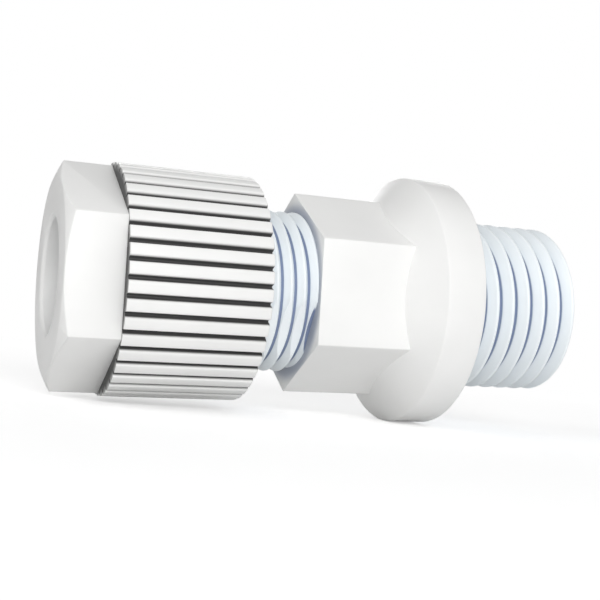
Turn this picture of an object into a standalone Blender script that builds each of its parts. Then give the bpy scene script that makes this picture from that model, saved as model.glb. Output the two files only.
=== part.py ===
"""Straight male fitting: a body with a pipe thread, its knurled union nut, and the ring that clamps the tube.

X runs along the bore and leaves by the pipe thread. The origin is on the axis, in the plane of the flange that
seals on the port. Z points through a corner of both hexagons, and Y through a flat. Sizes are in millimetres.
"""

from math import cos, pi, radians, sin, sqrt, tan

import bmesh
import bpy

NAME = "straight_male_fitting"
MM = 0.001
ROUND = 72                  # segments round a turned surface
THREAD_ROUND = 36           # segments round one turn of a thread
TURN_SEAM = radians(0.7)    # the seams stay off each other and off the corners of the ribs and hexagons
THREAD_SEAM = radians(2.0)
MERGE = 0.000001

# bores
FLOW_R = 3.0
SOCKET_R = 4.05
SOCKET_END_X = -14.0
BORE_CHAMFER = 0.4

# pipe thread, G 1/4
PIPE_CREST_R = 13.157 / 2
PIPE_PITCH = 1.337
PIPE_DEPTH = 0.856
PIPE_FLANK = radians(27.5)
PIPE_CREST_FLAT = 0.24
PIPE_END_X = 10.0
PIPE_CHAMFER = 0.28
PIPE_START = 0.35           # the thread starts in the flange, this far past the middle of its rim

# flange and hexagon of the body
FLANGE_R = 9.5
RIM_LENGTH = 3.0
RIM_EDGE = 0.12
CONE_SLOPE = 0.645          # length along the axis for each unit of radius
HEX_X = -11.5
HEX_FLATS = 13.0

# thread of the nut on the body, M12 x 1
NUT_CREST_R = 6.0
NUT_PITCH = 1.0
NUT_DEPTH = 0.613
NUT_FLANK = radians(30.0)
NUT_CREST_FLAT = 0.125
MOUTH_X = -21.5
MOUTH_R = 5.0
MOUTH_CHAMFER = 0.7
FLAT_DEPTH = 0.48
FLAT_TURN = radians(30.0)   # the flats look 30 degrees below the front and above the back

# nut
NUT_X = -29.3
NUT_HEX_LENGTH = 3.9
NUT_HEX_FLATS = 14.0
NUT_FACE_R = 6.8
NUT_CHAMFER = radians(30.0)
JOIN = 0.05                 # how far the corners of the hexagon run into the skirt
SKIRT_R = 8.25
SKIRT_LENGTH = 9.85
SKIRT_ROUND = 0.15
RIBS = 42
GROOVE_TOP = 0.56
GROOVE_BOTTOM = 0.3
GROOVE_DEPTH = 0.42
TUBE_HOLE_R = 4.1
SHOULDER_X = -25.0
RELIEF_LENGTH = 1.3
THREAD_GAP = 0.15           # radial play in the thread
FLANK_GAP = 0.08            # play on each flank, along the axis

# clamping ring
RING_GAP = 0.3
RING_R = 5.2
RING_BORE_R = 4.05
RING_NOSE_R = 4.35
RING_CHAMFER = 0.3


def collection(name):
    made = bpy.data.collections.new(name)
    bpy.context.scene.collection.children.link(made)
    return made


def new_object(name, bm, group):
    bmesh.ops.recalc_face_normals(bm, faces=bm.faces)
    mesh = bpy.data.meshes.new(name)
    bm.to_mesh(mesh)
    bm.free()
    made = bpy.data.objects.new(name, mesh)
    group.objects.link(made)
    if group is tools:
        made.hide_render = True
        made.display_type = "WIRE"
    return made


def turned(name, profile, group):
    """Turn a profile of (x, radius) points round X. It starts at the right and runs down its outer side."""
    bm = bmesh.new()
    points = [bm.verts.new((x * MM, r * cos(TURN_SEAM) * MM, r * sin(TURN_SEAM) * MM)) for x, r in profile]
    for a, b in zip(points, points[1:]):
        bm.edges.new((a, b))
    if profile[0][1] > 0:
        bm.edges.new((points[-1], points[0]))
    made = new_object(name, bm, group)
    screw = made.modifiers.new("Turn", "SCREW")
    screw.axis = "X"
    screw.angle = 2 * pi
    screw.steps = screw.render_steps = ROUND
    screw.use_merge_vertices = True
    screw.merge_threshold = MERGE
    return made


def prism(name, outline, x0, x1, group):
    """Extrude an outline of (y, z) points from x0 to x1."""
    bm = bmesh.new()
    face = bm.faces.new([bm.verts.new((x0 * MM, y * MM, z * MM)) for y, z in outline])
    grown = bmesh.ops.extrude_face_region(bm, geom=[face], use_keep_orig=True)["geom"]
    for end in grown:
        if isinstance(end, bmesh.types.BMVert):
            end.co.x = x1 * MM
    return new_object(name, bm, group)


def hexagon(across_flats):
    r = across_flats / sqrt(3)
    return [(r * cos(radians(30 + 60 * i)), r * sin(radians(30 + 60 * i))) for i in range(6)]


def thread_rod(name, x0, turns, pitch, crest_r, crest_flat, flank, depth, group):
    """Wind one pitch of a thread round X, right-handed, and close both ends inside with a cone."""
    top = crest_flat / 2
    foot = top + depth * tan(flank)
    root = crest_r - depth
    bm = bmesh.new()
    section = [(foot - pitch, root), (-foot, root), (-top, crest_r), (top, crest_r), (foot, root)]
    points = [bm.verts.new(((x0 + x) * MM, r * cos(THREAD_SEAM) * MM, r * sin(THREAD_SEAM) * MM))
              for x, r in section]
    edges = [bm.edges.new(pair) for pair in zip(points, points[1:])]
    bmesh.ops.spin(bm, geom=points + edges, cent=(0, 0, 0), axis=(1, 0, 0),
                   dvec=(pitch / THREAD_ROUND * MM, 0, 0), angle=2 * pi * turns,
                   steps=turns * THREAD_ROUND, use_duplicate=False)
    bmesh.ops.remove_doubles(bm, verts=bm.verts, dist=MERGE)
    middle = x0 + turns * pitch / 2
    rims = [edge for edge in bm.edges if edge.is_boundary]
    for right in (False, True):
        rim = [edge for edge in rims if (edge.verts[0].co.x > middle * MM) == right]
        grown = bmesh.ops.extrude_edge_only(bm, edges=rim)["geom"]
        tip = [v for v in grown if isinstance(v, bmesh.types.BMVert)]
        x = sum(v.co.x for v in tip) / len(tip)
        bmesh.ops.pointmerge(bm, verts=tip, merge_co=(x, 0, 0))
    return new_object(name, bm, group)


def boolean(target, operation, operand):
    step = target.modifiers.new(operand.name, "BOOLEAN")
    step.operation = operation
    step.object = operand
    step.solver = "EXACT"


def plastic(name, colour, roughness):
    made = bpy.data.materials.new(name)
    made.use_nodes = True
    shader = made.node_tree.nodes["Principled BSDF"]
    shader.inputs["Base Color"].default_value = (*colour, 1)
    shader.inputs["Roughness"].default_value = roughness
    return made


def fitting_body():
    pipe_root = PIPE_CREST_R - PIPE_DEPTH
    nut_root = NUT_CREST_R - NUT_DEPTH
    out_r = PIPE_CREST_R + 1
    spare = 2.0

    # pipe thread, which starts inside the flange, cut square at its free end with a small chamfer
    start = -RIM_LENGTH / 2 - PIPE_START
    turns = round((PIPE_END_X - start) / PIPE_PITCH) + 1
    body = thread_rod("fitting_body", start, turns, PIPE_PITCH,
                      PIPE_CREST_R, PIPE_CREST_FLAT, PIPE_FLANK, PIPE_DEPTH, parts)
    chamfer_r = PIPE_CREST_R - PIPE_CHAMFER
    boolean(body, "DIFFERENCE", turned("pipe_end", [
        (PIPE_END_X + 2 * spare, 0), (PIPE_END_X + 2 * spare, out_r),
        (PIPE_END_X - (out_r - chamfer_r), out_r), (PIPE_END_X, chamfer_r), (PIPE_END_X, 0)], tools))

    # thread of the nut, which starts inside the hexagon, with the same end and two flats along it
    turns = round((HEX_X - MOUTH_X) / NUT_PITCH) + 2
    tube_end = thread_rod("tube_end", MOUTH_X - NUT_PITCH / 2, turns, NUT_PITCH,
                          NUT_CREST_R, NUT_CREST_FLAT, NUT_FLANK, NUT_DEPTH, tools)
    chamfer_r = NUT_CREST_R - MOUTH_CHAMFER
    boolean(tube_end, "DIFFERENCE", turned("mouth_end", [
        (MOUTH_X, 0), (MOUTH_X, chamfer_r), (MOUTH_X + out_r - chamfer_r, out_r),
        (MOUTH_X - 2 * spare, out_r), (MOUTH_X - 2 * spare, 0)], tools))
    near = NUT_CREST_R - FLAT_DEPTH
    wide = NUT_CREST_R
    for side, turn in (("front", FLAT_TURN), ("back", FLAT_TURN + pi)):
        corners = [(-near, -wide), (-near, wide), (-near - 2, wide), (-near - 2, -wide)]
        outline = [(y * cos(turn) - z * sin(turn), y * sin(turn) + z * cos(turn)) for y, z in corners]
        boolean(tube_end, "DIFFERENCE", prism(f"flat_{side}", outline, MOUTH_X - spare, HEX_X + spare, tools))

    # hexagon, flange and bore
    cone_x = -RIM_LENGTH - (FLANGE_R - pipe_root) * CONE_SLOPE
    flange = turned("flange", [
        (0, 0), (0, FLANGE_R - RIM_EDGE), (-RIM_EDGE, FLANGE_R), (RIM_EDGE - RIM_LENGTH, FLANGE_R),
        (-RIM_LENGTH, FLANGE_R - RIM_EDGE), (cone_x, pipe_root), (cone_x, 0)], tools)
    boolean(flange, "UNION", prism("body_hexagon", hexagon(HEX_FLATS), HEX_X, -RIM_LENGTH - 0.5, tools))
    boolean(body, "UNION", flange)
    boolean(body, "UNION", tube_end)
    boolean(body, "DIFFERENCE", turned("body_bore", [
        (PIPE_END_X + 1, 0), (PIPE_END_X + 1, FLOW_R + BORE_CHAMFER + 1), (PIPE_END_X - BORE_CHAMFER, FLOW_R),
        (SOCKET_END_X, FLOW_R), (SOCKET_END_X, SOCKET_R), (MOUTH_X + MOUTH_R - SOCKET_R, SOCKET_R),
        (MOUTH_X - 1, MOUTH_R + 1), (MOUTH_X - 1, 0)], tools))
    return body


def union_nut():
    hex_end = NUT_X + NUT_HEX_LENGTH
    skirt_end = hex_end + SKIRT_LENGTH

    # skirt: ribs drawn across the axis and extruded, then rounded at the open edge
    outline = []
    for i in range(RIBS):
        middle = 2 * pi * i / RIBS
        pitch = 2 * pi / RIBS
        top = GROOVE_TOP / 2 / SKIRT_R
        bottom_r = SKIRT_R - GROOVE_DEPTH
        bottom = GROOVE_BOTTOM / 2 / bottom_r
        for turn, r in ((-bottom, bottom_r), (bottom, bottom_r), (top, SKIRT_R), (pitch / 2, SKIRT_R),
                        (pitch - top, SKIRT_R)):
            outline.append((r * cos(middle + turn), r * sin(middle + turn)))
    nut = prism("union_nut", outline, hex_end, skirt_end, parts)
    arc = [(skirt_end - SKIRT_ROUND * (1 - sin(a)), SKIRT_R - SKIRT_ROUND * (1 - cos(a)))
           for a in (radians(t) for t in (90, 70, 50, 30, 10))]
    wide = SKIRT_R + 0.05
    boolean(nut, "INTERSECT", turned("skirt_edge", [
        (skirt_end + 0.5, 0), (skirt_end + 0.5, SKIRT_R - SKIRT_ROUND), *arc,
        (skirt_end - SKIRT_ROUND - 0.4, wide), (hex_end - 1, wide), (hex_end - 1, 0)], tools))

    # hexagon with a turned chamfer on its outer face, and a spigot into the skirt
    head = prism("nut_hexagon", hexagon(NUT_HEX_FLATS), NUT_X, hex_end + 2, tools)
    rise = (SKIRT_R - NUT_FACE_R) * tan(NUT_CHAMFER)
    boolean(head, "INTERSECT", turned("nut_chamfer", [
        (hex_end + 1, 0), (hex_end + 1, NUT_FACE_R), (hex_end + JOIN, NUT_FACE_R),
        (hex_end + JOIN, SKIRT_R + 1), (NUT_X + rise + tan(NUT_CHAMFER), SKIRT_R + 1),
        (NUT_X - rise, 2 * NUT_FACE_R - SKIRT_R), (NUT_X - rise, 0)], tools))
    boolean(nut, "UNION", head)

    # inside: tube hole, shoulder, relief and the thread
    minor = NUT_CREST_R - NUT_DEPTH + THREAD_GAP
    major = NUT_CREST_R + THREAD_GAP
    mouth_r = major + 0.2
    relief_r = major + 0.1
    start = MOUTH_X - NUT_PITCH / 2 - NUT_PITCH * round(MOUTH_X - SHOULDER_X - RELIEF_LENGTH)
    turns = round((skirt_end - start) / NUT_PITCH) + 1
    crest_flat = NUT_CREST_FLAT + 2 * (FLANK_GAP - THREAD_GAP * tan(NUT_FLANK))
    boolean(nut, "DIFFERENCE", thread_rod("nut_tap", start, turns, NUT_PITCH, major, crest_flat, NUT_FLANK,
                                          major - minor, tools))
    boolean(nut, "DIFFERENCE", turned("nut_cavity", [
        (skirt_end + 1, 0), (skirt_end + 1, mouth_r + 1), (skirt_end - (mouth_r - 5), 5),
        (SHOULDER_X + RELIEF_LENGTH + relief_r - 5, 5), (SHOULDER_X + RELIEF_LENGTH, relief_r),
        (SHOULDER_X, relief_r), (SHOULDER_X, TUBE_HOLE_R), (NUT_X + BORE_CHAMFER / 2, TUBE_HOLE_R),
        (NUT_X - 1, TUBE_HOLE_R + BORE_CHAMFER / 2 + 1), (NUT_X - 1, 0)], tools))
    return nut


def clamping_ring():
    back = SHOULDER_X + RING_GAP

    def nose(r):
        return MOUTH_X + MOUTH_R - RING_GAP * sqrt(2) - r

    return turned("clamping_ring", [
        (nose(RING_NOSE_R), RING_NOSE_R), (nose(RING_R), RING_R), (back + RING_CHAMFER, RING_R),
        (back, RING_R - RING_CHAMFER), (back, RING_BORE_R), (nose(RING_NOSE_R), RING_BORE_R)], parts)


for old in list(bpy.data.objects):
    bpy.data.objects.remove(old)
parts = collection(NAME)
tools = collection("cutters")
white = plastic("natural_white_plastic", (0.86, 0.86, 0.84), 0.35)
tinted = plastic("ring_plastic", (0.78, 0.82, 0.88), 0.4)
for piece, material in ((fitting_body(), white), (union_nut(), white), (clamping_ring(), tinted)):
    piece.data.materials.append(material)
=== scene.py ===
"""Looks of the straight male fitting: moulded white plastic with pale blue threads, in a white studio."""

from math import cos, pi, radians, sin, sqrt, tan

import bmesh
import bpy
from mathutils import Matrix, Vector


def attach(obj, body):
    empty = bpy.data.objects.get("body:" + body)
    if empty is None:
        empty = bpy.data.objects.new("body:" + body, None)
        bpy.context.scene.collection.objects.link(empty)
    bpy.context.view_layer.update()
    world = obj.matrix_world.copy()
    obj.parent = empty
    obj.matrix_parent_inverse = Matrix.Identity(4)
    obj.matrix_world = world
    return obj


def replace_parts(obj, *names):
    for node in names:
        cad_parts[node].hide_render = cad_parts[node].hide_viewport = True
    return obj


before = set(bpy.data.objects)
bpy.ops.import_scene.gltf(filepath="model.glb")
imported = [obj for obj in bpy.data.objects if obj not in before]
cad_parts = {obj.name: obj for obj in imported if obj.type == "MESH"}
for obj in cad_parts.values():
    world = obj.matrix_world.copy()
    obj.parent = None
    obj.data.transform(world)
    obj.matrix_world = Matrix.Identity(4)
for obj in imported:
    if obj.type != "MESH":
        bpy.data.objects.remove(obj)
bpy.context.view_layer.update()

MM = 0.001
WELD = MM / 1000             # points closer than this are one point
SPIN_STEPS = 144             # segments round a turned surface
THREAD_STEPS = 96            # segments round one turn of a thread
SMOOTH_ANGLE = radians(32)   # flatter edges than this are shaded smooth
SPARE = 1.0                  # millimetres that a tool reaches past what it cuts

# Sizes of the part in millimetres. X is a place on its axis, with the nut on the left, and R is a distance
# from the axis.

# Body: flange, plain hexagon and bore
SEAT_X = 0.0                 # sealing face of the flange
RIM_X = -3.0
FLANGE_R = 9.499             # a thousandth inside the model's rim, so that nothing stands out of its box
RIM_EDGE = 0.12
CONE_SLOPE = 0.645           # length along the axis for each unit of radius
CONE_END_R = 5.6             # the cone ends hidden inside the hexagon
HEX_X = -11.5
HEX_END_X = RIM_X - 0.5      # the hexagon ends hidden inside the flange's cone
HEX_FLATS = 13.0
HEX_EDGE = 0.07
HEX_CORE_R = 5.0             # inner walls of the hexagon and the flange, hidden inside the threaded core
FLANGE_CORE_R = 5.2
FLOW_R = 3.0
FLOW_EDGE = 0.4
SOCKET_X = -14.0
SOCKET_R = 4.05
MOUTH_X = -21.5
MOUTH_R = 5.0

# Pipe thread
PIPE_CREST_R = 6.5785
PIPE_ROOT_R = 5.7225
PIPE_FLANK = radians(27.5)
PIPE_CREST_ROUND = 0.16
PIPE_PITCH = 1.337
PIPE_X = RIM_X / 2           # it starts hidden inside the flange
PIPE_FIRST_X = PIPE_X - 0.35   # a crest on the +Y side
PIPE_END_X = 10.0
PIPE_END_R = 6.3             # its end is chamfered to this radius

# Thread that the nut runs on, with two flats along it
TUBE_CREST_R = 6.0
TUBE_ROOT_R = 5.387
TUBE_FLANK = radians(30)
TUBE_CREST_ROUND = 0.11
TUBE_PITCH = 1.0
TUBE_FIRST_X = MOUTH_X - TUBE_PITCH / 2   # a crest on the +Y side
TUBE_X = HEX_X + 1           # it ends hidden inside the hexagon
TUBE_END_R = 5.3             # its end is chamfered to this radius
FLAT_FROM_AXIS = 5.52
FLAT_TURN = radians(30)      # the flats look this far below the front and above the back

# Nut
NUT_X = -29.3
NUT_FLATS = 14.0
NUT_EDGE = 0.05
CHAMFER_R = 6.88
CHAMFER_SLOPE = 0.42         # length along the axis for each unit of radius
CHAMFER_END_R = 9.0          # past the corners of the hexagon
HOLE_R = 4.1
HOLE_EDGE = 0.2
STEP_X = -25.4               # right face of the nut's hexagon, where the skirt starts
HEAD_LAP = 0.02              # how far the hexagon reaches into the skirt
SHOULDER_X = -25.0
RELIEF_R = 6.3
RELIEF_X = -23.7
SKIRT_X = -15.55
SKIRT_R = 8.25
SKIRT_EDGE = 0.15
RIBS = 42
RIB_EDGE = 0.05
GROOVE_DEPTH = 0.42
GROOVE_TOP = 0.47            # width of a groove at the crowns of the ribs
GROOVE_BOTTOM = 0.14         # width of a groove at its floor
INSIDE_R = 7.0               # what lies nearer to the axis is inside the nut
NUT_VALLEY_R = 6.15
NUT_RIDGE_R = 5.537
NUT_VALLEY_ROUND = 0.1
NUT_START_R = 6.2            # the thread is chamfered to these radii at its left and right end
NUT_MOUTH_R = 6.35

# Clamping ring
RING_NOSE_X = -21.2743
RING_NOSE_R = 4.35
RING_BACK_X = -24.7
RING_BORE_R = 4.05
RING_R = 5.2
RING_CHAMFER = 0.3
RING_EDGE = 0.05


# Shapes

def wire(bm, points):
    """An open line of (x, radius) points beside the axis."""
    verts = [bm.verts.new((x * MM, r * MM, 0)) for x, r in points]
    return verts + [bm.edges.new(pair) for pair in zip(verts, verts[1:])]


def turned(points):
    """Turn a line of (x, radius) points once round X."""
    bm = bmesh.new()
    bmesh.ops.spin(bm, geom=wire(bm, points), cent=(0, 0, 0), axis=(1, 0, 0), angle=2 * pi, steps=SPIN_STEPS,
                   use_merge=True)
    bmesh.ops.remove_doubles(bm, verts=bm.verts, dist=WELD)
    return bm


def thread(crest_r, root_r, flank, crest_round, pitch, first_x, left_x, right_x, limit):
    """A right-hand thread with round crests from left_x to right_x, with a crest at first_x on the +Y side.

    One turn is wound, and copies of it follow each other along the axis, from left of left_x to past right_x,
    where they are cut off. limit(x, r) gives the radius that a point has where an end is chamfered.
    """
    centre_r = crest_r - crest_round
    foot = crest_round * cos(flank) + (centre_r + crest_round * sin(flank) - root_r) * tan(flank)
    angles = [(pi / 2 - flank) * share for share in (-1, -0.5, 0, 0.5, 1)]
    arc = [(crest_round * sin(a), centre_r + crest_round * cos(a)) for a in angles]
    section = [(foot - pitch, root_r), (-foot, root_r), *arc, (foot, root_r)]
    bm = bmesh.new()
    bmesh.ops.spin(bm, geom=wire(bm, section), cent=(0, 0, 0), axis=(1, 0, 0), angle=2 * pi,
                   dvec=(pitch * MM / THREAD_STEPS, 0, 0), steps=THREAD_STEPS)
    start_x = first_x + pitch * int((left_x - first_x) / pitch - 2)
    bmesh.ops.translate(bm, verts=bm.verts, vec=(start_x * MM, 0, 0))
    one_turn = [*bm.verts, *bm.edges, *bm.faces]
    for i in range(1, int((right_x - start_x) / pitch) + 2):
        copy = bmesh.ops.duplicate(bm, geom=one_turn)["geom"]
        bmesh.ops.translate(bm, verts=[v for v in copy if isinstance(v, bmesh.types.BMVert)],
                            vec=(i * pitch * MM, 0, 0))
    bmesh.ops.remove_doubles(bm, verts=bm.verts, dist=WELD)
    for v in bm.verts:
        r = v.co.yz.length / MM
        v.co.yz = v.co.yz * (limit(v.co.x / MM, r) / r)
    slice_off(bm, Vector((-1, 0, 0)), -left_x)
    slice_off(bm, Vector((1, 0, 0)), right_x)
    return bm


def slice_off(bm, way, reach):
    """Cut off what lies more than reach from the origin in one direction, and give the cut edges."""
    cut = bmesh.ops.bisect_plane(bm, geom=[*bm.verts, *bm.edges, *bm.faces], plane_co=way * reach * MM,
                                 plane_no=way, clear_outer=True, dist=WELD / 10)["geom_cut"]
    return [e for e in cut if isinstance(e, bmesh.types.BMEdge)]


def add(bm, other):
    """Take the other mesh into this one."""
    mesh = bpy.data.meshes.new("part")
    other.to_mesh(mesh)
    other.free()
    bm.from_mesh(mesh)
    bpy.data.meshes.remove(mesh)


def open_edges(bm, x):
    """The edges in the plane at x that have a face on one side only."""
    return [e for e in bm.edges if e.is_boundary and all(abs(v.co.x - x * MM) < WELD for v in e.verts)]


def close(bm, *planes):
    """Fill the ring between the two open loops in each plane."""
    for x in planes:
        bmesh.ops.triangle_fill(bm, edges=open_edges(bm, x), use_beauty=True, normal=(1, 0, 0))


def prism(outline, first_x, stations):
    """Loft an outline of (y, z) points from first_x through (x, shrink) stations, without end faces."""
    bm = bmesh.new()
    verts = [bm.verts.new((first_x * MM, y * MM, z * MM)) for y, z in outline]
    edges = [bm.edges.new((a, b)) for a, b in zip(verts, verts[1:] + verts[:1])]
    for x, shrink in stations:
        geom = bmesh.ops.extrude_edge_only(bm, edges=edges)["geom"]
        edges = [e for e in geom if isinstance(e, bmesh.types.BMEdge)]
        verts = {v for e in edges for v in e.verts}
        for v in verts:
            r = v.co.yz.length
            v.co.x = x * MM
            v.co.yz = v.co.yz * ((r - shrink * MM) / r)
    return bm


def hexagon(flats, per_side):
    """Points round a hexagon with a corner at the top."""
    r = flats / sqrt(3)
    turns = [radians(30 + 60 * i) for i in range(7)]
    corners = [Vector((r * cos(a), r * sin(a))) for a in turns]
    return [a.lerp(b, k / per_side) for a, b in zip(corners, corners[1:]) for k in range(per_side)]


def round_edges(bm, size, angle=35, segments=3):
    """Soften the edges of a finished closed shape that are sharper than the angle."""
    bmesh.ops.recalc_face_normals(bm, faces=bm.faces)
    sharp = [e for e in bm.edges if e.is_manifold and e.calc_face_angle() > radians(angle)]
    bmesh.ops.bevel(bm, geom=sharp, offset=size * MM, segments=segments, profile=0.5, affect="EDGES",
                    material=-1, clamp_overlap=True)


def piece(name, bm, body, *materials, pick=None):
    """Finish a mesh as a piece that rides on a body; pick(place, normal) tells which material a face has."""
    bmesh.ops.recalc_face_normals(bm, faces=bm.faces)
    for face in bm.faces:
        face.smooth = True
        if pick:
            face.material_index = pick(face.calc_center_median() / MM, face.normal)
    for edge in bm.edges:
        edge.smooth = not edge.is_manifold or edge.calc_face_angle() < SMOOTH_ANGLE
    mesh = bpy.data.meshes.new(name)
    bm.to_mesh(mesh)
    bm.free()
    made = bpy.data.objects.new(name, mesh)
    bpy.context.scene.collection.objects.link(made)
    for material in materials:
        mesh.materials.append(material)
    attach(made, body)
    return made


# Materials

def group(name, inputs, outputs):
    """A shader node group, with its input and output nodes."""
    made = bpy.data.node_groups.new(name, "ShaderNodeTree")
    for label, kind, value in inputs:
        socket = made.interface.new_socket(name=label, in_out="INPUT", socket_type="NodeSocket" + kind)
        socket.default_value = value
    for label, kind in outputs:
        made.interface.new_socket(name=label, in_out="OUTPUT", socket_type="NodeSocket" + kind)
    return made, made.nodes.new("NodeGroupInput"), made.nodes.new("NodeGroupOutput")


def moulded_surface_with_painted_shade():
    """Colour that deepens in the recesses as painted shade, with faint flow marks, grain and changes of
    gloss.
    """
    made, given, out = group("moulded_surface_with_painted_shade", [
        ("Colour", "Color", (1, 1, 1, 1)), ("Recess shade", "Color", (1, 1, 1, 1)),
        ("Recess radius", "Float", 0.0), ("Crest radius", "Float", 1.0),
        ("Dullness", "Float", 0.4)], [("Colour", "Color"), ("Roughness", "Float"), ("Normal", "Vector")])
    nodes, link = made.nodes, made.links.new

    # painted shade: from the recess colour to the piece's own, by the distance from the axis
    place = nodes.new("ShaderNodeTexCoord")
    across = nodes.new("ShaderNodeVectorMath")
    across.operation = "MULTIPLY"
    across.inputs[1].default_value = (0, 1, 1)
    link(place.outputs["Object"], across.inputs[0])
    radius = nodes.new("ShaderNodeVectorMath")
    radius.operation = "LENGTH"
    link(across.outputs[0], radius.inputs[0])
    depth = nodes.new("ShaderNodeMapRange")
    depth.interpolation_type = "SMOOTHSTEP"
    link(radius.outputs["Value"], depth.inputs["Value"])
    link(given.outputs["Recess radius"], depth.inputs["From Min"])
    link(given.outputs["Crest radius"], depth.inputs["From Max"])
    shade = nodes.new("ShaderNodeMix")
    shade.data_type = "RGBA"
    link(depth.outputs["Result"], shade.inputs["Factor"])
    link(given.outputs["Recess shade"], shade.inputs["A"])
    link(given.outputs["Colour"], shade.inputs["B"])

    # flow marks a few millimetres wide
    flow = nodes.new("ShaderNodeTexNoise")
    flow.inputs["Scale"].default_value = 160
    flow.inputs["Detail"].default_value = 4
    link(place.outputs["Object"], flow.inputs["Vector"])
    marks = nodes.new("ShaderNodeMapRange")
    marks.inputs["From Min"].default_value = 0.3
    marks.inputs["From Max"].default_value = 0.7
    marks.inputs["To Min"].default_value = 0.975
    marks.inputs["To Max"].default_value = 1.02
    link(flow.outputs["Fac"], marks.inputs["Value"])
    tone = nodes.new("ShaderNodeVectorMath")
    tone.operation = "SCALE"
    link(shade.outputs["Result"], tone.inputs[0])
    link(marks.outputs["Result"], tone.inputs["Scale"])
    link(tone.outputs[0], out.inputs["Colour"])

    # gloss that changes with the flow marks, and a fine grain
    grain = nodes.new("ShaderNodeTexNoise")
    grain.inputs["Scale"].default_value = 2600
    grain.inputs["Detail"].default_value = 3
    link(place.outputs["Object"], grain.inputs["Vector"])
    spread = nodes.new("ShaderNodeMapRange")
    spread.inputs["To Min"].default_value = -0.06
    spread.inputs["To Max"].default_value = 0.06
    link(flow.outputs["Fac"], spread.inputs["Value"])
    rough = nodes.new("ShaderNodeMath")
    link(given.outputs["Dullness"], rough.inputs[0])
    link(spread.outputs["Result"], rough.inputs[1])
    link(rough.outputs[0], out.inputs["Roughness"])
    bump = nodes.new("ShaderNodeBump")
    bump.inputs["Strength"].default_value = 0.12
    bump.inputs["Distance"].default_value = 0.02 * MM
    link(grain.outputs["Fac"], bump.inputs["Height"])
    link(bump.outputs[0], out.inputs["Normal"])
    return made


def plastic(name, dullness, colour, recess_shade=None, recess_r=0, crest_r=1):
    """Moulded plastic, with the recess colour, a painted shade, up to recess_r from the axis and its own from
    crest_r.
    """
    made = bpy.data.materials.new(name)
    made.use_nodes = True
    nodes, link = made.node_tree.nodes, made.node_tree.links.new
    shader = nodes["Principled BSDF"]
    surface = nodes.new("ShaderNodeGroup")
    surface.node_tree = SURFACE
    surface.inputs["Colour"].default_value = (*colour, 1)
    surface.inputs["Recess shade"].default_value = (*(recess_shade or colour), 1)
    surface.inputs["Recess radius"].default_value = recess_r * MM
    surface.inputs["Crest radius"].default_value = crest_r * MM
    surface.inputs["Dullness"].default_value = dullness
    link(surface.outputs["Colour"], shader.inputs["Base Color"])
    link(surface.outputs["Roughness"], shader.inputs["Roughness"])
    link(surface.outputs["Normal"], shader.inputs["Normal"])
    shader.inputs["IOR"].default_value = 1.42
    shader.inputs["Specular IOR Level"].default_value = 0.35
    return made


WHITE = (0.88, 0.88, 0.87)
COOL_WHITE = (0.72, 0.75, 0.80)
PALE_BLUE = (0.90, 0.945, 0.97)
# painted shade: a darker blue in the thread roots, where shade falls between the flanks
ROOT_SHADE_BLUE = (0.20, 0.25, 0.38)
# painted shade: grey on the hexagon's left face, darkest next to the thread, where shade falls
HEX_FACE_SHADE_GREY = (0.42, 0.45, 0.52)
# painted shade: near black in the floors and walls of the grooves between the ribs
GROOVE_SHADE = (0.06, 0.06, 0.06)
# painted shade: near black on the step between the nut's hexagon and its ribs
STEP_SHADE = (0.05, 0.05, 0.05)
SURFACE = moulded_surface_with_painted_shade()
white = plastic("white_plastic", 0.42, WHITE)
# white ribs, with painted shade in the grooves between them
ribbed_with_groove_shade = plastic("ribbed_plastic_groove_shade", 0.42, WHITE, GROOVE_SHADE, recess_r=8.0, crest_r=8.21)
# pale blue tint of the threads, with painted shade in their roots
tube_tint_and_root_shade = plastic("tube_thread_plastic_root_shade", 0.34, PALE_BLUE, ROOT_SHADE_BLUE, recess_r=5.39, crest_r=5.46)
pipe_tint_and_root_shade = plastic("pipe_thread_plastic_root_shade", 0.34, PALE_BLUE, ROOT_SHADE_BLUE, recess_r=5.74, crest_r=5.87)
bore_tint = plastic("bore_plastic", 0.36, PALE_BLUE)
# painted shade on the step, darkest next to the hexagon
step = plastic("step_plastic_shade", 0.45, WHITE, STEP_SHADE, recess_r=7.6, crest_r=8.7)
# painted shade on the hexagon's left face, darkest next to the thread
hex_face_shade = plastic("hex_face_plastic_shade", 0.42, WHITE, HEX_FACE_SHADE_GREY, recess_r=6.05, crest_r=7.0)
ring_white = plastic("ring_plastic_look", 0.45, COOL_WHITE)


# Body

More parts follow.
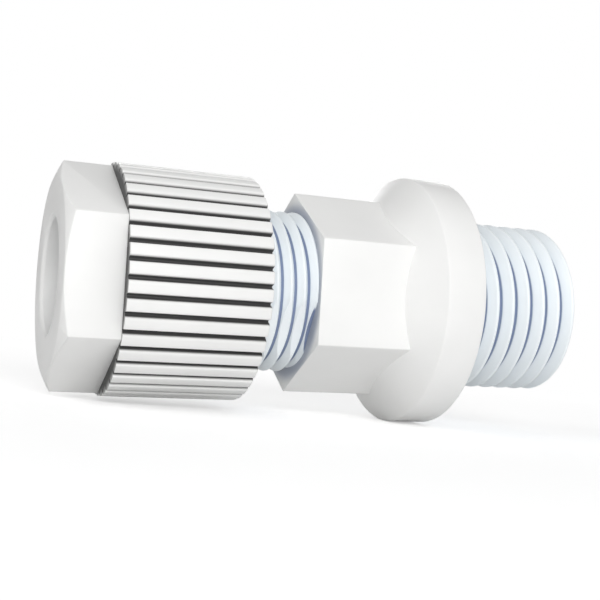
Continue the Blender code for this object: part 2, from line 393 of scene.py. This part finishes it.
def threaded_core():
    """Both threads and the bore between them, with the two flats along the thread that the nut runs on."""
    bm = thread(PIPE_CREST_R, PIPE_ROOT_R, PIPE_FLANK, PIPE_CREST_ROUND, PIPE_PITCH, PIPE_FIRST_X,
                PIPE_X, PIPE_END_X, lambda x, r: min(r, PIPE_END_R + (PIPE_END_X - x)))
    # wound past its end and then cut off, so that the flats run right through
    tube = thread(TUBE_CREST_R, TUBE_ROOT_R, TUBE_FLANK, TUBE_CREST_ROUND, TUBE_PITCH, TUBE_FIRST_X,
                  MOUTH_X, TUBE_X + 2 * SPARE, lambda x, r: min(r, TUBE_END_R + (x - MOUTH_X)))
    for side in (1, -1):
        way = Vector((0, -cos(FLAT_TURN), -sin(FLAT_TURN))) * side
        bmesh.ops.holes_fill(tube, edges=slice_off(tube, way, FLAT_FROM_AXIS))
    slice_off(tube, Vector((1, 0, 0)), TUBE_X)
    add(bm, tube)
    add(bm, turned([(PIPE_END_X, FLOW_R + FLOW_EDGE), (PIPE_END_X - FLOW_EDGE, FLOW_R), (SOCKET_X, FLOW_R),
                    (SOCKET_X, SOCKET_R), (MOUTH_X + MOUTH_R - SOCKET_R, SOCKET_R), (MOUTH_X, MOUTH_R)]))
    close(bm, PIPE_END_X, MOUTH_X)
    bmesh.ops.bridge_loops(bm, edges=open_edges(bm, PIPE_X) + open_edges(bm, TUBE_X))
    return bm


def body_hexagon():
    """Plain hexagon between the nut's thread and the flange."""
    bm = prism(hexagon(HEX_FLATS, per_side=16), HEX_X, [(HEX_END_X, 0)])
    add(bm, turned([(HEX_X, HEX_CORE_R), (HEX_END_X, HEX_CORE_R)]))
    close(bm, HEX_X, HEX_END_X)
    round_edges(bm, HEX_EDGE)
    return bm


def flange():
    """Flange with a plain rim and a cone that falls towards the hexagon."""
    cone_x = RIM_X - (FLANGE_R - CONE_END_R) * CONE_SLOPE
    bm = turned([(SEAT_X, FLANGE_CORE_R), (SEAT_X, FLANGE_R), (RIM_X, FLANGE_R), (cone_x, CONE_END_R),
                 (cone_x, FLANGE_CORE_R), (SEAT_X, FLANGE_CORE_R)])
    round_edges(bm, RIM_EDGE)
    return bm


# Nut

def nut_head():
    """Hexagon with a turned chamfer on its end, and the tube's hole."""
    bm = prism(hexagon(NUT_FLATS, per_side=1), NUT_X, [(STEP_X + HEAD_LAP, 0)])
    bmesh.ops.holes_fill(bm, edges=bm.edges)
    bmesh.ops.recalc_face_normals(bm, faces=bm.faces)
    chamfer_x = NUT_X + (CHAMFER_END_R - CHAMFER_R) * CHAMFER_SLOPE
    lathe = turned([(STEP_X + SPARE, HOLE_R), (STEP_X + SPARE, CHAMFER_END_R), (chamfer_x, CHAMFER_END_R),
                    (NUT_X, CHAMFER_R), (NUT_X - SPARE, CHAMFER_R),
                    (NUT_X - SPARE, HOLE_R + HOLE_EDGE + SPARE), (NUT_X + HOLE_EDGE, HOLE_R),
                    (STEP_X + SPARE, HOLE_R)])
    bmesh.ops.recalc_face_normals(lathe, faces=lathe.faces)
    stock, tool = (bpy.data.objects.new(n, bpy.data.meshes.new(n)) for n in ("stock", "tool"))
    bm.to_mesh(stock.data)
    lathe.to_mesh(tool.data)
    lathe.free()
    for o in (stock, tool):
        bpy.context.scene.collection.objects.link(o)
    cut = stock.modifiers.new("Chamfer", "BOOLEAN")
    cut.operation = "INTERSECT"
    cut.solver = "EXACT"
    cut.object = tool
    bpy.context.view_layer.update()
    bm.clear()
    bm.from_object(stock, bpy.context.evaluated_depsgraph_get())
    for o in (stock, tool):
        bpy.data.objects.remove(o)
    round_edges(bm, NUT_EDGE, angle=20, segments=2)
    return bm


def nut_skirt():
    """Ribbed skirt, and the nut's thread inside it."""
    pitch = 2 * pi / RIBS
    low = SKIRT_R - GROOVE_DEPTH
    floor_turn = GROOVE_BOTTOM / 2 / low
    wall_turn = GROOVE_TOP / 2 / SKIRT_R
    # a groove's floor and walls, and the crown of the rib beside it
    marks = [(-floor_turn, low), (floor_turn, low), (wall_turn, SKIRT_R), (pitch * 0.4, SKIRT_R),
             (pitch * 0.6, SKIRT_R), (pitch - wall_turn, SKIRT_R)]
    outline = [(r * cos(pitch * i + a), r * sin(pitch * i + a)) for i in range(RIBS) for a, r in marks]
    turns = [radians(t) for t in (0, 30, 60, 90)]
    right_edge = [(SKIRT_X - SKIRT_EDGE * (1 - sin(a)), SKIRT_EDGE * (1 - cos(a))) for a in turns]
    bm = prism(outline, STEP_X, right_edge)
    # the sharp edges that run along the ribs
    ribs = [e for e in bm.edges if e.is_manifold and e.calc_face_angle() > radians(30)
            and abs((e.verts[0].co - e.verts[1].co).normalized().x) > 0.3]
    bmesh.ops.bevel(bm, geom=ribs, offset=RIB_EDGE * MM, segments=2, profile=0.5, affect="EDGES",
                    material=-1)
    # the same form seen from inside, with play added, so that its valleys are round
    add(bm, thread(NUT_VALLEY_R, NUT_RIDGE_R, TUBE_FLANK, NUT_VALLEY_ROUND, TUBE_PITCH, TUBE_FIRST_X,
                   RELIEF_X, SKIRT_X,
                   lambda x, r: max(r, NUT_MOUTH_R - (SKIRT_X - x), NUT_START_R - (x - RELIEF_X))))
    add(bm, turned([(STEP_X, HOLE_R), (SHOULDER_X, HOLE_R), (SHOULDER_X, RELIEF_R), (RELIEF_X, RELIEF_R)]))
    close(bm, STEP_X, SKIRT_X, RELIEF_X)
    return bm


def clamping_ring():
    """Loose ring with a conical nose between the nut's shoulder and the mouth of the body."""
    bm = turned([(RING_NOSE_X, RING_NOSE_R), (RING_NOSE_X - (RING_R - RING_NOSE_R), RING_R),
                 (RING_BACK_X + RING_CHAMFER, RING_R), (RING_BACK_X, RING_R - RING_CHAMFER),
                 (RING_BACK_X, RING_BORE_R), (RING_NOSE_X, RING_BORE_R), (RING_NOSE_X, RING_NOSE_R)])
    round_edges(bm, RING_EDGE)
    return bm


def core_material_pick(place, normal):
    """The pipe's thread, the nut's thread, or the bore and the end faces."""
    if place.yz.length < TUBE_END_R or abs(normal.x) > 0.95:
        return 2
    return int(place.x < HEX_X)


def hexagon_shade_pick(place, normal):
    """The plain hexagon, or its left face, which painted shade darkens towards the thread."""
    return int(normal.x < -0.95)


def skirt_shade_pick(place, normal):
    """The ribs with painted shade in their grooves, the step at their left end with painted shade, or the
    inside and the right end.
    """
    if abs(normal.x) < 0.6 and place.yz.length > INSIDE_R:
        return 0
    return 1 if place.x < STEP_X + 0.05 else 2


piece("body_threads", threaded_core(), "body", pipe_tint_and_root_shade, tube_tint_and_root_shade, bore_tint, pick=core_material_pick)
piece("body_hexagon", body_hexagon(), "body", white, hex_face_shade, pick=hexagon_shade_pick)
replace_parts(piece("body_flange", flange(), "body", white), "fitting_body")
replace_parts(piece("nut_skirt", nut_skirt(), "nut", ribbed_with_groove_shade, step, white, pick=skirt_shade_pick), "union_nut")
piece("nut_head", nut_head(), "nut", white)
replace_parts(piece("clamping_ring_look", clamping_ring(), "ring", ring_white), "clamping_ring")


# Studio

MIDDLE_X = -10.0             # the lamps look here, and the paper is lit round here
LIT_R = 30.0                 # lit paper up to this far from the middle
PLAIN_R = 140.0              # plain white from this far on
PAPER = 0.92
LIFT = 0.38                  # glow of the lit paper, so that only the shadow is darker than white
BOUNCE = 0.85                # light that the plain white gives to the part
SKY = 0.37                   # light of the surroundings, which are plain white to the camera
FLOOR_X = RIM_X + 0.1        # the sheet touches the rim here
FLOOR_LEAN = 0.042           # radians that it rises towards the nut, which it clears at every pose
FLOOR_REACH = 3.0            # metres from its middle to its edges


def grey(level):
    """A grey with full alpha."""
    return level, level, level, 1


def paper(name):
    """Lit paper near the part, which turns to plain white away from it."""
    made = bpy.data.materials.new(name)
    made.use_nodes = True
    nodes, link = made.node_tree.nodes, made.node_tree.links.new
    place = nodes.new("ShaderNodeTexCoord")
    away = nodes.new("ShaderNodeVectorMath")
    away.operation = "DISTANCE"
    away.inputs[1].default_value = (MIDDLE_X * MM, 0, -FLANGE_R * MM)
    link(place.outputs["Object"], away.inputs[0])
    far = nodes.new("ShaderNodeMapRange")
    far.interpolation_type = "SMOOTHSTEP"
    far.inputs["From Min"].default_value = LIT_R * MM
    far.inputs["From Max"].default_value = PLAIN_R * MM
    link(away.outputs["Value"], far.inputs["Value"])
    tone = nodes.new("ShaderNodeMix")
    glow = nodes.new("ShaderNodeMix")
    bounce = nodes.new("ShaderNodeMix")
    seen = nodes.new("ShaderNodeMix")
    for mix in (tone, glow, bounce, seen):
        mix.data_type = "RGBA"
    for mix, near_level, far_level in ((tone, PAPER, 0), (glow, LIFT, 1), (bounce, 0, BOUNCE)):
        mix.inputs["A"].default_value = grey(near_level)
        mix.inputs["B"].default_value = grey(far_level)
        link(far.outputs["Result"], mix.inputs["Factor"])
    link(bounce.outputs["Result"], seen.inputs["A"])
    path = nodes.new("ShaderNodeLightPath")
    link(path.outputs["Is Camera Ray"], seen.inputs["Factor"])
    link(glow.outputs["Result"], seen.inputs["B"])
    shader = nodes["Principled BSDF"]
    link(tone.outputs["Result"], shader.inputs["Base Color"])
    link(seen.outputs["Result"], shader.inputs["Emission Color"])
    shader.inputs["Emission Strength"].default_value = 1.0
    shader.inputs["Roughness"].default_value = 0.9
    shader.inputs["Specular IOR Level"].default_value = 0.0
    return made


def lay_floor():
    """A wide sheet of paper that touches the flange's rim."""
    touch = Vector((FLOOR_X * MM, 0, -FLANGE_R * MM))
    sheet = bmesh.new()
    bmesh.ops.create_grid(sheet, x_segments=1, y_segments=1, size=FLOOR_REACH)
    bmesh.ops.transform(sheet, verts=sheet.verts,
                        matrix=Matrix.Translation(touch) @ Matrix.Rotation(FLOOR_LEAN, 4, "Y"))
    mesh = bpy.data.meshes.new("floor")
    sheet.to_mesh(mesh)
    sheet.free()
    made = bpy.data.objects.new("floor", mesh)
    mesh.materials.append(paper("studio_paper"))
    bpy.context.scene.collection.objects.link(made)


def lamp(name, place, watts, width):
    """A square soft lamp that looks at the part's middle, placed in metres."""
    light = bpy.data.lights.new(name, "AREA")
    light.energy = watts
    light.size = width
    made = bpy.data.objects.new(name, light)
    made.location = place
    middle = Vector((MIDDLE_X * MM, 0, 0))
    made.rotation_euler = (middle - Vector(place)).to_track_quat("-Z", "Y").to_euler()
    bpy.context.scene.collection.objects.link(made)


def surroundings():
    """White surroundings, which light the part more weakly than they look."""
    world = bpy.data.worlds.new("studio")
    bpy.context.scene.world = world
    world.use_nodes = True
    nodes, link = world.node_tree.nodes, world.node_tree.links.new
    sky = nodes["Background"]
    path = nodes.new("ShaderNodeLightPath")
    level = nodes.new("ShaderNodeMapRange")
    level.inputs["To Min"].default_value = SKY
    level.inputs["To Max"].default_value = 1.0
    link(path.outputs["Is Camera Ray"], level.inputs["Value"])
    link(level.outputs["Result"], sky.inputs["Strength"])
    sky.inputs["Color"].default_value = grey(1)


lay_floor()
lamp("key", place=(-0.05, -0.30, 0.08), watts=0.57, width=0.16)
lamp("fill", place=(-0.26, -0.06, 0.18), watts=0.15, width=0.20)
lamp("back", place=(0.09, 0.29, 0.05), watts=0.44, width=0.20)
surroundings()

# Camera, at the drawing's angle
camera = bpy.data.objects.new("camera", bpy.data.cameras.new("camera"))
camera.location = (-39.068 * MM, -73.431 * MM, -2.365 * MM)
camera.rotation_euler = (radians(91.332), radians(-3.415), radians(-21.318))
camera.data.lens = 62.3
camera.data.clip_start = 0.005
camera.data.clip_end = 20
bpy.context.scene.collection.objects.link(camera)
bpy.context.scene.camera = camera
bpy.context.scene.view_settings.view_transform = "Standard"
